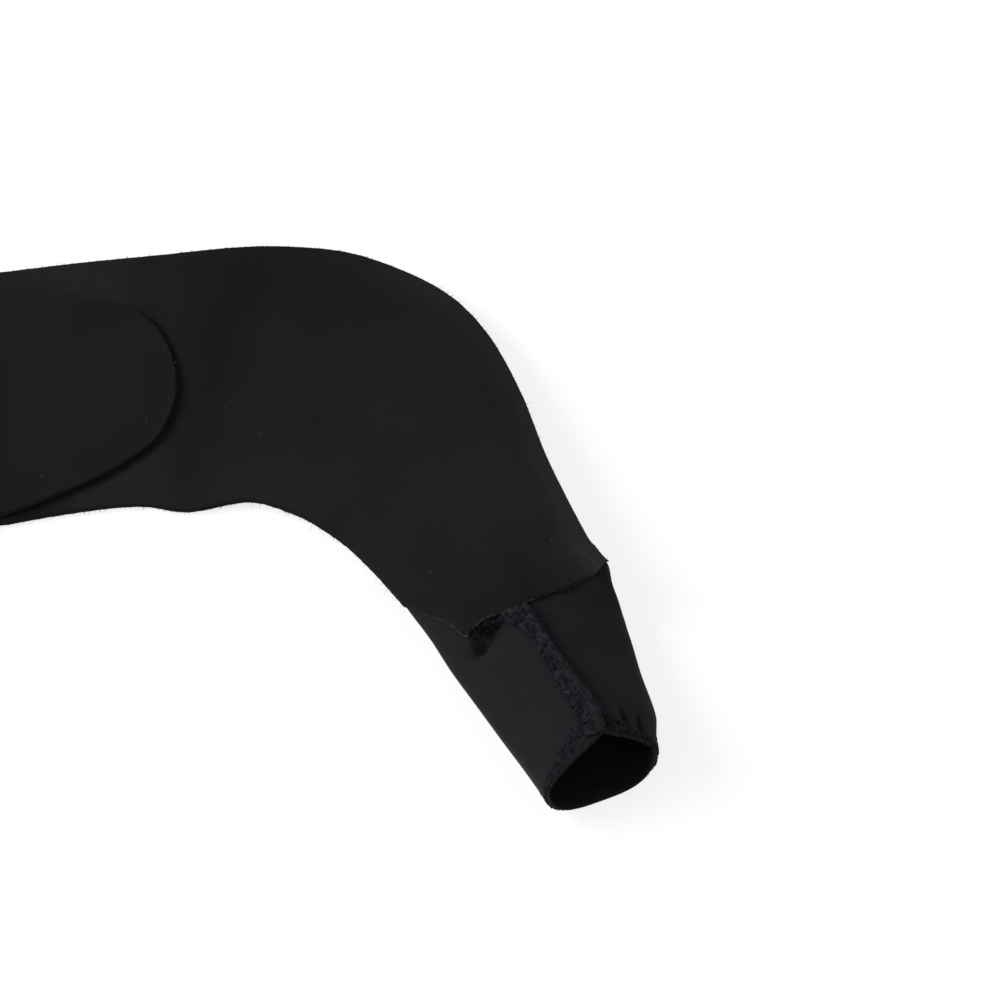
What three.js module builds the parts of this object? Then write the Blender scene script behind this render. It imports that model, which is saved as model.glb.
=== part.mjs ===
import * as THREE from "three";

// Wrist and thumb brace, lying closed: a fabric wrap whose strap loops round the wrist and laps over itself,
// with a tapered thumb sleeve sewn under the wrap's far end. Millimetres, +Z up, +X along the strap.

// Cloth thicknesses, and the clearance kept between neighbouring pieces
const PANEL_WALL = 1.8;
const SLEEVE_WALL = 1.0;
const HEM_WALL = 1.6;
const HOOK_WALL = 1.0;
const GAP = 0.35;
const JOIN_GAP = 0.6;

// Wrist loop seen from the side: it leaves the ground, turns over and comes down onto the body
const STRAP_HALF = 34.1;
const TURN_X = -20;
const TURN_REACH = 23;
const TURN_RISE = 17;
const LAP_X = 27;
const GROUND_X = 9;
const GROUND_MID = PANEL_WALL / 2;
const LAP_MID = PANEL_WALL + HOOK_WALL + 2 * GAP + PANEL_WALL / 2;

// Rounded strap end: where the front and back cut edges run, down to the tip
const TAB = [
  { frontX: 12, frontY: -34.1, backX: 12, backY: 34.1 },
  { frontX: 29.5, frontY: -33.8, backX: 32.6, backY: 29.7 },
  { frontX: 41, frontY: -30, backX: 47.9, backY: 24.9 },
  { frontX: 53.2, frontY: -25.1, backX: 57.5, backY: 22.2 },
  { frontX: 60.6, frontY: -21.4, backX: 64.5, backY: 18.8 },
  { frontX: 66, frontY: -17.9, backX: 69.2, backY: 13.8 },
  { frontX: 69.8, frontY: -13, backX: 71.8, backY: 8.2 },
  { frontX: 72.2, frontY: -7.4, backX: 73, backY: 2.6 },
  { frontX: 73.2, frontY: -3.8, backX: 73.3, backY: -1 },
];

// Body: ribs of its middle surface from the thumb end back to the strap, as front edge, middle and back edge,
// with the power of the arch between them: 1 is a parabola, less is fuller at the sides
const RIBS = [
  { front: [116.2, -59.1, 6.5], middle: [138.4, -47.3, 16.8], back: [159.5, -38.6, 12.5], arch: 0.8 },
  { front: [111.4, -52.1, 4.5], middle: [133.3, -33.8, 13.5], back: [155.1, -17.7, 10], arch: 0.85 },
  { front: [105.2, -45.6, 3.5], middle: [127.3, -20.9, 9.6], back: [148.8, 1.3, 7.2], arch: 0.9 },
  { front: [97.9, -39.9, 3], middle: [118.3, -11.2, 6], back: [138.7, 16, 4.4], arch: 1 },
  { front: [87.8, -35.5, 2.8], middle: [105, -3.5, 3], back: [120.9, 28.4, 2], arch: 1 },
  { front: [73.2, -35.6, 0.9], middle: [87.8, -1.4, 0.9], back: [103, 33, 0.9], arch: 1 },
  { front: [61.8, -33, 1.2], middle: [74, 1, 0.9], back: [86, 34.4, 0.9], arch: 1 },
  { front: [46, -32.8, 0.9], middle: [50, 1, 0.9], back: [53.9, 34.7, 0.9], arch: 1 },
  { front: [30, -34.1, 0.9], middle: [30, 0, 0.9], back: [30, 34.1, 0.9], arch: 1 },
];

// Thumb sleeve: a straight centre line in plan, and at even runs along it the turn of the cross line,
// the shift along it, the half width, and the heights of the section's sole, widest line and top
const SLEEVE_START = { x: 146.7, y: -67.3 };
const SLEEVE_STEP = { x: 0.325, y: -0.96 };
const SLEEVE_FIRST = -10;
const SLEEVE_SPACING = 18;
const SLEEVE = [
  { turn: 8, shift: -1.4, half: 22.8, low: 0.5, mid: 6, top: 16.5 },
  { turn: 11, shift: 0.4, half: 21.8, low: 0.5, mid: 6.6, top: 17.2 },
  { turn: 12.5, shift: 0.4, half: 18.6, low: 0.5, mid: 8.4, top: 19.2 },
  { turn: 13.5, shift: 0.1, half: 15.7, low: 0.7, mid: 10.8, top: 22.3 },
  { turn: 14, shift: -2, half: 10.8, low: 1.5, mid: 12.5, top: 25 },
];
const SOLE_SQUARENESS = 0.65;
const TENT_SHARE = 0.4;
const BASE_RUN = -5;
const MOUTH_RUN = 43.7;
const MOUTH_LIP = 6.2;
const MOUTH_SHORTEST = 83;
const HEM_LENGTH = 4;

// Sewn joint: how far along the sleeve the body's rounded end lies at shares across the body, with its pointed
// dip at the tuck, where the body first meets the sleeve at its front and back, and how far round it reaches
const LAP_EDGE = [
  { across: 0, run: -1.6 },
  { across: 0.1, run: 5.2 },
  { across: 0.14, run: 11 },
  { across: 0.27, run: 9.2 },
  { across: 0.46, run: 8.7 },
  { across: 0.74, run: 6.9 },
  { across: 0.92, run: 3.3 },
  { across: 1, run: 0.8 },
];
const LAP_FRONT_START = -4.5;
const LAP_BACK_START = -9;
const LAP_SHARES = [1, 0.5, 0];
const JOIN_FRONT = 169;
const JOIN_BACK = 8;

// Raised base of the sleeve under the body's back corner, how far round the sleeve the raise spreads in
// degrees, and the run at which it has faded
const CORNER_RAISE = new THREE.Vector3(-0.36, -3.2, 7);
const CORNER_SPREAD = 38;
const CORNER_LENGTH = 15;

// Raised seam along the sleeve: the angles of its free edge and of its ridge at runs along the sleeve, the
// heights of its section, and how far it stays clear of the body's edge and of the hem
const SEAM_PATH = [
  { run: 9, free: 109, ridge: 90 },
  { run: 14, free: 100, ridge: 89.5 },
  { run: 22, free: 97, ridge: 88.5 },
  { run: 29, free: 96.5, ridge: 85.5 },
  { run: 36, free: 96, ridge: 82 },
  { run: 42, free: 94.5, ridge: 79.5 },
  { run: 44.6, free: 92, ridge: 79.5 },
];
const SEAM_SECTION = [
  { share: 0, height: 0.9 },
  { share: 0.3, height: 1.17 },
  { share: 0.6, height: 1.76 },
  { share: 0.85, height: 2.2 },
  { share: 1, height: 1.98 },
];
const SEAM_ACROSS_BODY = 0.33;
const SEAM_BODY_CLEAR = 1.2;
const SEAM_HEM_CLEAR = 0.4;

// Hook fastener: how far it stays inside the strap end's cut edge, and the strap end's rows that it lies under
const HOOK_INSET = 7;
const HOOK_ROWS = [2, 3, 4, 5, 5.6];

// Fineness of the faceted cloth
const PANEL_ACROSS = 16;
const RIB_STEPS = 3;
const TURN_STEPS = 16;
const RETURN_STEPS = 7;
const TAB_STEPS = 4;
const SLEEVE_ROUND = 40;
const SLEEVE_ALONG = 10;
const HEM_ALONG = 3;
const SEAM_ALONG = 14;

const radians = THREE.MathUtils.degToRad;
const lerp = THREE.MathUtils.lerp;

// A curve through a list of points, read by row number
function through(points) {
  const curve = new THREE.CatmullRomCurve3(points, false, "catmullrom", 0.5);
  return (row) => curve.getPoint(row / (points.length - 1));
}

// Value of one column of a table at a place in it, on straight lines between its rows
function between(table, place, at, name) {
  const clamped = THREE.MathUtils.clamp(at, table[0][place], table[table.length - 1][place]);
  const next = Math.max(1, table.findIndex((row) => row[place] >= clamped));
  const [low, high] = [table[next - 1], table[next]];
  return THREE.MathUtils.mapLinear(clamped, low[place], high[place], low[name], high[name]);
}

// Value of one column of the sleeve's table at a run along it
function sleeveColumn(name, run) {
  const column = through(SLEEVE.map((row) => new THREE.Vector3(row[name], 0, 0)));
  return column((run - SLEEVE_FIRST) / SLEEVE_SPACING).x;
}

// Point of the sleeve's middle surface: a peaked top on a squarer sole that rests on the ground, raised at the
// base under the body's back corner
function sleevePoint(run, degrees) {
  const cos = Math.cos(radians(degrees));
  const sin = Math.sin(radians(degrees));
  const under = sin < 0;
  const power = under ? SOLE_SQUARENESS : 1;
  const reachAcross = sleeveColumn("half", run) * Math.sign(cos) * Math.abs(cos) ** power;
  const across = sleeveColumn("shift", run) + reachAcross;
  const mid = sleeveColumn("mid", run);
  const end = under ? sleeveColumn("low", run) : sleeveColumn("top", run);
  const turn = radians(sleeveColumn("turn", run));
  const point = new THREE.Vector3(
    SLEEVE_START.x + SLEEVE_STEP.x * run + across * Math.cos(turn),
    SLEEVE_START.y + SLEEVE_STEP.y * run + across * Math.sin(turn),
    lerp(mid, end, under ? Math.abs(sin) ** power : peakedShare(run, cos, sin)),
  );
  return point.addScaledVector(CORNER_RAISE, cornerShare(run, degrees));
}

// Height share of the sleeve's top: half an ellipse mixed with a tent whose ridge is at the seam
function peakedShare(run, cos, sin) {
  const ridge = Math.cos(radians(between(SEAM_PATH, "run", run, "ridge")));
  const tent = Math.min((1 + cos) / (1 + ridge), (1 - cos) / (1 - ridge));
  return lerp(sin, tent, TENT_SHARE);
}

// Share of the corner's raise: a bell round the sleeve that fades along it
function cornerShare(run, degrees) {
  const apart = THREE.MathUtils.euclideanModulo(degrees - JOIN_BACK + 180, 360) - 180;
  const bell = Math.exp(-((apart / CORNER_SPREAD) ** 2));
  return bell * (1 - THREE.MathUtils.smoothstep(run, 0, CORNER_LENGTH));
}

// Outward normal of the sleeve's middle surface
function sleeveNormal(run, degrees) {
  const along = sleevePoint(run + 0.5, degrees).sub(sleevePoint(run - 0.5, degrees));
  const around = sleevePoint(run, degrees + 1).sub(sleevePoint(run, degrees - 1));
  return around.cross(along).normalize();
}

function sleeveOffset(run, degrees, out) {
  return sleevePoint(run, degrees).addScaledVector(sleeveNormal(run, degrees), out);
}

// Run at which the sleeve's cloth ends: shortest at the seam, longest opposite it
function mouthRun(degrees) {
  return MOUTH_RUN + MOUTH_LIP * Math.abs(Math.sin(radians(degrees - MOUTH_SHORTEST) / 2));
}

// Run at which the body's rounded end lies over the sleeve, from its front corner to its back corner
function lapRun(v) {
  return between(LAP_EDGE, "across", v, "run");
}

// Row of points across the body: a parabola in plan through a rib's three points, arched up between its edges
function ribRow(rib) {
  const [front, middle, back] = [rib.front, rib.middle, rib.back].map((p) => new THREE.Vector3(...p));
  return acrossPanel((v) => {
    const bow = 4 * v * (1 - v);
    const point = front.clone().multiplyScalar((1 - v) * (1 - 2 * v));
    point.addScaledVector(middle, bow).addScaledVector(back, v * (2 * v - 1));
    const rise = middle.z - (front.z + back.z) / 2;
    return point.setZ(lerp(front.z, back.z, v) + rise * bow ** rib.arch);
  });
}

// Row of points across the body where it lies over the sleeve, at a share of the way to its rounded end
function lapRow(share) {
  const out = SLEEVE_WALL / 2 + JOIN_GAP + PANEL_WALL / 2;
  const from = Math.cos(radians(JOIN_FRONT));
  const to = Math.cos(radians(JOIN_BACK));
  return acrossPanel((v) => {
    const degrees = THREE.MathUtils.radToDeg(Math.acos(lerp(from, to, v)));
    const start = lerp(LAP_FRONT_START, LAP_BACK_START, v);
    return sleeveOffset(lerp(start, lapRun(v), share), degrees, out);
  });
}

// Points across the wrap, closer together towards its cut edges
function acrossPanel(pointAt) {
  return Array.from({ length: PANEL_ACROSS + 1 }, (_, j) => {
    const turn = (Math.PI * j) / PANEL_ACROSS;
    return pointAt((1 - Math.cos(turn)) / 2);
  });
}

function straightRow(front, back) {
  return acrossPanel((v) => front.clone().lerp(back, v));
}

// Rows with smooth ones put between them
function refine(rows, steps) {
  const columns = rows[0].map((_, j) => through(rows.map((row) => row[j])));
  const count = (rows.length - 1) * steps;
  return Array.from({ length: count + 1 }, (_, i) => columns.map((column) => column(i / steps)));
}

// Height of the strap's middle surface where it comes back over the wrist
function returnHeight(x) {
  const fall = THREE.MathUtils.smoothstep(x, TURN_X, LAP_X);
  return lerp(GROUND_MID + 2 * TURN_RISE, LAP_MID, fall);
}

function strapRow(x, z) {
  return straightRow(new THREE.Vector3(x, -STRAP_HALF, z), new THREE.Vector3(x, STRAP_HALF, z));
}

function turnRows() {
  return Array.from({ length: TURN_STEPS + 1 }, (_, i) => {
    const angle = radians(lerp(-90, 90, i / TURN_STEPS));
    const x = TURN_X - TURN_REACH * Math.cos(angle);
    return strapRow(x, GROUND_MID + TURN_RISE * (1 + Math.sin(angle)));
  });
}

function returnRows() {
  return Array.from({ length: RETURN_STEPS - 1 }, (_, i) => {
    const x = lerp(TURN_X, TAB[0].frontX, (i + 1) / RETURN_STEPS);
    return strapRow(x, returnHeight(x));
  });
}

// Front and back edge points of the rounded strap end, pulled in from its cut edge by an inset
function tabEdges(inset) {
  const front = through(TAB.map((row) => new THREE.Vector3(row.frontX, row.frontY + inset, 0)));
  const back = through(TAB.map((row) => new THREE.Vector3(row.backX, row.backY - inset, 0)));
  return { front, back };
}

function tabRows() {
  const { front, back } = tabEdges(0);
  return Array.from({ length: (TAB.length - 1) * TAB_STEPS + 1 }, (_, i) => {
    const row = straightRow(front(i / TAB_STEPS), back(i / TAB_STEPS));
    row.forEach((point) => point.setZ(returnHeight(point.x)));
    return row;
  });
}

function panelGrid() {
  const body = refine([...LAP_SHARES.map(lapRow), ...RIBS.map(ribRow)], RIB_STEPS);
  return [...body, strapRow(GROUND_X, GROUND_MID), ...turnRows(), ...returnRows(), ...tabRows()];
}

// Unit normals of a grid of points, from the differences between neighbours
function gridNormals(grid, closed) {
  const count = grid[0].length;
  const wrap = (j) => (closed ? (j + count) % count : THREE.MathUtils.clamp(j, 0, count - 1));
  return grid.map((row, i) =>
    row.map((_, j) => {
      const before = grid[Math.max(i - 1, 0)][j];
      const after = grid[Math.min(i + 1, grid.length - 1)][j];
      const along = after.clone().sub(before);
      const around = row[wrap(j + 1)].clone().sub(row[wrap(j - 1)]);
      return around.cross(along).normalize();
    }),
  );
}

// Closed solid between two grids of points, joined along their open borders
function solidBetween(outer, inner, closed) {
  const rows = outer.length;
  const count = outer[0].length;
  const points = [...outer.flat(), ...inner.flat()];
  const at = (side, i, j) => side * rows * count + i * count + (j % count);
  const faces = [];
  const quad = (a, b, c, d) => faces.push(a, b, c, a, c, d);
  const spans = closed ? count : count - 1;
  for (let i = 0; i < rows - 1; i++) {
    for (let j = 0; j < spans; j++) {
      quad(at(0, i, j), at(0, i, j + 1), at(0, i + 1, j + 1), at(0, i + 1, j));
      quad(at(1, i, j), at(1, i + 1, j), at(1, i + 1, j + 1), at(1, i, j + 1));
    }
    if (!closed) {
      quad(at(0, i, 0), at(0, i + 1, 0), at(1, i + 1, 0), at(1, i, 0));
      quad(at(0, i, spans), at(1, i, spans), at(1, i + 1, spans), at(0, i + 1, spans));
    }
  }
  for (let j = 0; j < spans; j++) {
    quad(at(0, 0, j), at(1, 0, j), at(1, 0, j + 1), at(0, 0, j + 1));
    quad(at(0, rows - 1, j), at(0, rows - 1, j + 1), at(1, rows - 1, j + 1), at(1, rows - 1, j));
  }
  return facingOut(points, faces);
}

// Geometry of points and faces, with every face turned to look outwards
function facingOut(points, faces) {
  let volume = 0;
  for (let k = 0; k < faces.length; k += 3) {
    const [a, b, c] = [points[faces[k]], points[faces[k + 1]], points[faces[k + 2]]];
    volume += a.dot(b.clone().cross(c));
  }
  const index = volume < 0 ? [...faces].reverse() : faces;
  const geometry = new THREE.BufferGeometry().setFromPoints(points).setIndex(index);
  geometry.computeVertexNormals();
  return geometry;
}

// Cloth wall of one thickness around a middle surface, flattened where it rests on the ground
function wall(grid, thickness, closed) {
  const normals = gridNormals(grid, closed);
  const skinPoint = (p, normal, out) => {
    const point = p.clone().addScaledVector(normal, out);
    return point.setZ(Math.max(point.z, 0));
  };
  const side = (out) => grid.map((row, i) => row.map((p, j) => skinPoint(p, normals[i][j], out)));
  return solidBetween(side(thickness / 2), side(-thickness / 2), closed);
}

// Band of the sleeve's middle surface between two runs that may change round it
function sleeveBand(fromRun, toRun, steps) {
  return Array.from({ length: steps + 1 }, (_, i) =>
    Array.from({ length: SLEEVE_ROUND }, (_, j) => {
      const degrees = (360 * j) / SLEEVE_ROUND;
      return sleevePoint(lerp(fromRun(degrees), toRun(degrees), i / steps), degrees);
    }),
  );
}

function sleeveGeometry() {
  return wall(sleeveBand(() => BASE_RUN, mouthRun, SLEEVE_ALONG), SLEEVE_WALL, true);
}

function hemGeometry() {
  const start = (degrees) => mouthRun(degrees) + GAP;
  const end = (degrees) => mouthRun(degrees) + GAP + HEM_LENGTH;
  return wall(sleeveBand(start, end, HEM_ALONG), HEM_WALL, true);
}

// Seam allowance standing on the sleeve, low on its front side and a ridge on its back side
function seamGeometry() {
  const startRun = lapRun(SEAM_ACROSS_BODY) + SEAM_BODY_CLEAR;
  const endRun = MOUTH_RUN - SEAM_HEM_CLEAR;
  const foot = SLEEVE_WALL / 2 + GAP;
  const skin = (outAt) =>
    Array.from({ length: SEAM_ALONG + 1 }, (_, i) => {
      const run = lerp(startRun, endRun, i / SEAM_ALONG);
      const [free, ridge] = ["free", "ridge"].map((name) => between(SEAM_PATH, "run", run, name));
      return SEAM_SECTION.map(({ share, height }) => sleeveOffset(run, lerp(free, ridge, share), outAt(height)));
    });
  return solidBetween(skin((height) => foot + height), skin(() => foot), false);
}

// Hook fastener under the strap's rounded end
function hookGeometry() {
  const { front, back } = tabEdges(HOOK_INSET);
  const middleZ = PANEL_WALL + GAP + HOOK_WALL / 2;
  const grid = HOOK_ROWS.map((row) => {
    const points = straightRow(front(row), back(row));
    points.forEach((point) => point.set(point.x - HOOK_INSET / 2, point.y, middleZ));
    return points;
  });
  return wall(grid, HOOK_WALL, false);
}

function cloth(name, geometry, colour) {
  const material = new THREE.MeshStandardMaterial({ color: colour, roughness: 0.95 });
  material.name = name;
  const mesh = new THREE.Mesh(geometry, material);
  mesh.name = name;
  return mesh;
}

const brace = new THREE.Group();
brace.name = "wrist_thumb_brace";
brace.add(cloth("wrap_panel", wall(panelGrid(), PANEL_WALL, false), 0x1e1e1e));
brace.add(cloth("hook_patch", hookGeometry(), 0x161616));
brace.add(cloth("thumb_sleeve", sleeveGeometry(), 0x252528));
brace.add(cloth("sleeve_seam", seamGeometry(), 0x2a2930));
brace.add(cloth("mouth_hem", hemGeometry(), 0x2a2930));

export default brace;
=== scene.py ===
import bpy
import numpy as np
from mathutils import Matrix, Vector


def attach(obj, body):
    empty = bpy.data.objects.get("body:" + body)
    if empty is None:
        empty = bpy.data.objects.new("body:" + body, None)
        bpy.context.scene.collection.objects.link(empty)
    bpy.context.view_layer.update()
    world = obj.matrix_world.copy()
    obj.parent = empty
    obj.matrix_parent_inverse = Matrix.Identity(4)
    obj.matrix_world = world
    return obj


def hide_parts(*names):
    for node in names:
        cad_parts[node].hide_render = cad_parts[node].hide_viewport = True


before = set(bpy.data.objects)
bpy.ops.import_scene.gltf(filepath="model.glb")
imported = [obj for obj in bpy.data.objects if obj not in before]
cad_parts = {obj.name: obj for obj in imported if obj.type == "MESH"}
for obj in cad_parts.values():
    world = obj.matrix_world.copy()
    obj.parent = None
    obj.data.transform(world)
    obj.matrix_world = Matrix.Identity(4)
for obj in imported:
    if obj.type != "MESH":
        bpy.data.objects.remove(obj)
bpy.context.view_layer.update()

# Wrist and thumb brace lying closed. Shapes are worked out in millimetres, +Z up and +X along the
# strap, and become metres when a mesh is made.
MM = 0.001

# Cloth thicknesses and the clearance between neighbouring pieces
PANEL_WALL = 1.8
SLEEVE_WALL = 1.0
END_WALL = 0.7
HEM_WALL = 1.2
HOOK_WALL = 1.0
GAP = 0.35
JOIN_GAP = 0.6
END_GAP = 0.08
HEM_GAP = 0.02

# Strap's half width, and the wrist loop seen from the side
STRAP_HALF = 34.1
TURN_X = -20
TURN_REACH = 23
TURN_RISE = 17
LAP_X = 27
GROUND_MID = PANEL_WALL / 2
LAP_MID = PANEL_WALL + HOOK_WALL + 2 * GAP + PANEL_WALL / 2

# Rounded strap end: x and y of its front cut edge, then of its back cut edge, down to the tip
TAB = np.array([
    [12, -34.1, 12, 34.1],
    [29.5, -32.5, 32.6, 29.7],
    [41, -29.3, 47.9, 24.9],
    [53.2, -25.1, 57.5, 22.2],
    [60.6, -21.4, 64.5, 18.8],
    [66, -17.9, 69.2, 13.8],
    [69.8, -13, 71.8, 8.2],
    [72.2, -7.4, 73, 2.6],
    [73.2, -3.8, 73.3, -1],
])

# Body ribs from the thumb end back to the strap: front edge, middle and back edge points, then the
# arch's power
RIBS = np.array([
    [116.2, -59.1, 6.5, 138.4, -47.3, 16.8, 159.5, -38.6, 12.5, 0.8],
    [111.4, -52.1, 4.5, 133.3, -33.8, 13.5, 155.1, -17.7, 10, 0.85],
    [105.2, -45.6, 3.5, 127.3, -20.9, 9.6, 148.8, 1.3, 7.2, 0.9],
    [97.9, -39.9, 3, 118.3, -11.2, 6, 138.7, 16, 4.4, 1],
    [87.8, -35.5, 2.8, 105, -3.5, 3, 120.9, 28.4, 2, 1],
    [73.2, -35.6, 0.9, 87.8, -1.4, 0.9, 104.5, 33.3, 0.9, 1],
    [61.8, -33, 1.2, 74, 1, 0.9, 86, 34.4, 0.9, 1],
    [46, -32.8, 0.9, 50, 1, 0.9, 53.9, 34.7, 0.9, 1],
    [30, -34.1, 0.9, 30, 0, 0.9, 30, 34.1, 0.9, 1],
])

# Thumb sleeve at even runs along it: turn of the cross line, shift along it, half width, and the
# heights of the section's sole, widest line and top
SLEEVE_START = np.array([146.7, -67.3])
SLEEVE_STEP = np.array([0.325, -0.96])
SLEEVE_FIRST = -10
SLEEVE_SPACING = 18
SLEEVE = np.array([
    [8, -1.4, 22.8, 0.5, 6, 16.5],
    [11, 0.4, 21.8, 0.5, 6.6, 17.2],
    [12.5, 0.4, 18.6, 0.5, 8.4, 19.2],
    [13.5, 0.1, 15.7, 0.7, 10.8, 22.3],
    [14, -2, 10.8, 1.5, 12.5, 25],
])
SOLE_SQUARENESS = 0.65
TENT_SHARE = 0.4
BASE_RUN = -5
MOUTH_RUN = 43.7
MOUTH_LIP = 6.2
MOUTH_SHORTEST = 83
HEM_LENGTH = 4.35
MOUTH_PEAK = 84
MOUTH_NOTCH = 1.8
MOUTH_NOTCH_SPREAD = 24

# Sewn joint: share across the body and run along the sleeve of the body's rounded end, with its pointed
# tuck
LAP_EDGE = np.array([
    [0, -1.6],
    [0.05, 2.2],
    [0.103, 5.2],
    [0.14, 11],
    [0.2, 9.8],
    [0.27, 9.2],
    [0.38, 9],
    [0.46, 8.7],
    [0.6, 7.8],
    [0.74, 6.9],
    [0.84, 5.1],
    [0.92, 3.3],
    [0.98, 2],
    [1, -0.2],
])
LAP_FRONT_START = -4.5
LAP_BACK_START = -9
LAP_SHARES = np.array([1, 0.5, 0])
LAP_ROUNDING = 0.012
JOIN_FRONT = 169
JOIN_BACK = 8
CORNER_IN = -0.7
CORNER_OUT = 0.1
CORNER_SHARE = 0.12
CORNER_RAISE = np.array([-0.36, -3.2, 7])
CORNER_SPREAD = 38
CORNER_LENGTH = 15
TUCK_LIFT = 0.5
TUCK_SHARE = 0.17
TUCK_SPREAD = 0.07
SEWN_LENGTH = 8

# Soft crease across the body: plan points of its front and back ends, and the swell beside it, with
# its height, the distances over which it rises and falls, and the y over which it grows
CREASE_FRONT = np.array([73.1, -35.3])
CREASE_BACK = np.array([103, 33])
HUMP = 0.7
HUMP_RISE = (-2, 14)
HUMP_FALL = (14, 32)
HUMP_GROWTH = (-34, 12)

# Ripples of the cloth: their heights where it lies flat and where it is free, the x over which it comes
# free, and their length
FLAT_RIPPLE = 0.05
FREE_RIPPLE = 0.2
FREE_FROM = (78, 100)
RIPPLE_LENGTH = 26

# Cut edges: their wobble, its length, depth and the place of its line on the ripple, how much thinner
# they are, and the angle that is sharp
EDGE_WOBBLE = 0.07
EDGE_WOBBLE_LENGTH = 2.6
EDGE_WOBBLE_DEPTH = 2
EDGE_WOBBLE_APART = 40
EDGE_THINNING = 0.42
CUT_ANGLE = np.radians(55)

# Droop of the strap end's cut edges and the x from which it starts, and the hook patch's inset from
# those edges and the rows of the strap end that it spans
DROOP = 1.2
DROOP_WIDTH = 9
DROOP_START = 14
HOOK_INSET = 7
HOOK_ROWS = (2, 5.6)

# Millimetres a degree round the sleeve, at its base and on the whole
BASE_ARC = 0.32
MEAN_ARC = 0.28

# Bumps of the sleeve's knit: run along it and spread, angle round it and spread, and height outwards,
# which is 1 where wrinkles give the height
BROAD_DENTS = np.array([
    [0, 4.2, 5, 30, 1.8],
    [25, 14, 172, 30, 0.4],
    [5, 8, 172, 30, -0.6],
])
HEM_PUCKERS = np.array([
    [43, 2.6, 58, 3.8, -1.9],
    [45.5, 2.2, 44, 3.6, -1.7],
])
TUCK_TROUGH = np.array([[13.4, 2.2, 126, 15, 1]])
TUCK_FOLD = np.array([[14.2, 0.9, 131, 8, -1.8]])
GATHER = np.array([[11.6, 1.7, 116, 10, 1]])

# Slant of the tuck, in run for each degree from its angle, the pull inwards at the mouth's back side, and
# the height of the hem's lumps
TUCK_ANGLE = 126
TUCK_SLANT = 0.1
MOUTH_PULL = -1.2
PULL_ANGLE = -28
PULL_SPREAD = 45
PULL_START = 42
PULL_END = 48
HEM_LUMPS = 0.12

# Raised seam: runs along the sleeve with the angles of its free edge and of its sewn ridge there, then
# its flat width, its heights, how it sinks at its ends, and the runs over which its fold shows
SEAM_PATH = np.array([
    [9, 109, 90],
    [12, 105, 90],
    [14, 100, 89.5],
    [17, 98, 89],
    [22, 97, 88.5],
    [29, 96.5, 85.5],
    [36, 96, 82],
    [42, 95.5, 79.5],
    [46.2, 97.5, 80.5],
])
SEAM_WIDTH = 5
SEAM_LOW = 0.9
SEAM_HIGH = 2.2
SEAM_FOOT = 0.3
SEAM_FOOT_LOW = 0.1
SEAM_MOUTH_SINK = 0.6
SEAM_MOUTH_TAPER = 5
SEAM_BODY_SINK = 0.5
SEAM_BODY_TAPER = 3
SEAM_FOLD = (22, 31)

# Base lightness of the wrap's colour, and what is added on the strap, painted light on the strip beside the
# strap's end, painted shade on the strap's side of the crease, and painted highlights along the back rim
# and at the back corner
FLAT_NAP = 0.29
STRAP_TONE = 0.05
STRIP_PAINTED_LIGHT = 0.19
WEDGE_PAINTED_SHADE = -0.06
RIM_PAINTED_HIGHLIGHT = 0.5
CORNER_PAINTED_LIGHT = 0.42

# Reach of that painted light and shade: x ranges, the strip's slant, distances from the crease, the rim's
# width and its share past the second range, and the corner's spreads along and across the body
STRIP_END = (61, 72)
STRIP_SLANT = 0.1
WEDGE_START = (72, 82)
WEDGE_CROSS = (-4, 6)
RIM_WIDTH = 9
RIM_START = (112, 138)
RIM_RISE = (150, 157)
RIM_SHARE = 0.58
CORNER_LIGHT_SPREADS = (11, 15)

# Soft patches of painted light, where the amount is positive, and painted shade, where it is negative,
# among them a painted shadow under the strap end's front edge: plan point, spreads along x and y, and
# amount
BODY_PAINTED_LIGHT_AND_SHADE = np.array([
    [150, -48, 11, 14, 0.27],
    [94, -34, 14, 9, 0.19],
    [117, 17, 14, 12, -0.06],
    [36, -32, 9, 5, -0.3],
])
# Painted shade along the strap end's back edge
TAB_PAINTED_SHADE = np.array([[57, 19, 9, 6, -0.13]])

# Specks of lint on the nap: plan points
LINT_PLACES = np.array([
    [73.6, 2.8],
    [65.2, -12.4],
    [38.9, -24.4],
    [84.4, -8.5],
    [77.8, -21],
    [92.4, -18.5],
    [110.7, -30.9],
    [158.4, -59.4],
    [128.8, -64.2],
])

# Steps of the fine surfaces
EDGE_STEPS = np.array([0, 0.12, 0.3, 0.6, 1.0])
PANEL_ACROSS = 80
RIB_STEPS = 13
LAP_STEPS = 16
GROUND_STEPS = 16
TURN_STEPS = 50
RETURN_STEPS = 14
TAB_STEPS = 9
SLEEVE_ROUND = 260
SLEEVE_ALONG = 110
HEM_ALONG = 18
SEAM_ALONG = 90
SEAM_ACROSS = 22
HOOK_ALONG = 40
BODY_ROWS = len(EDGE_STEPS) + LAP_STEPS - 1 + len(RIBS) * RIB_STEPS
TAB_ROWS = (len(TAB) - 1) * TAB_STEPS

# Stitches: their counts, spacing and reach from the hem's rim, the steps of their paths, the shares
# across the body that they span, and the radii of their threads
HEM_STITCHES = 90
STITCH_POINTS = 14
STITCH_SHORT = 1.2
STITCH_EXTRA = 5.6
STITCH_ANGLE = 95
STITCH_SPREAD = 36
SEAM_PITCH = 1.0
SEAM_POINTS = 460
GATHER_STITCHES = 10
GATHER_POINTS = 170
GATHER_SHARES = (0.16, 0.35)
JOINT_POINTS = 800
JOINT_SHARES = (0.03, 0.98)
JOINT_LENGTH = 60
JOINT_LOOPS = 18
LOOP_SHARES = (0.09, 0.5)
HEM_THREAD = 0.115
SEAM_THREAD = 0.13
JOINT_THREAD = 0.16
JOINT_THREAD_SUNK = 0.08
LOOP_THREAD = 0.09
THREAD_SIDES = 6
THREAD_UP = np.array([0.0, 0.3, 1.0])
LOOP_UP = np.array([0.3, 0.0, 1.0])
LOWEST_THREAD = 0.25

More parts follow.
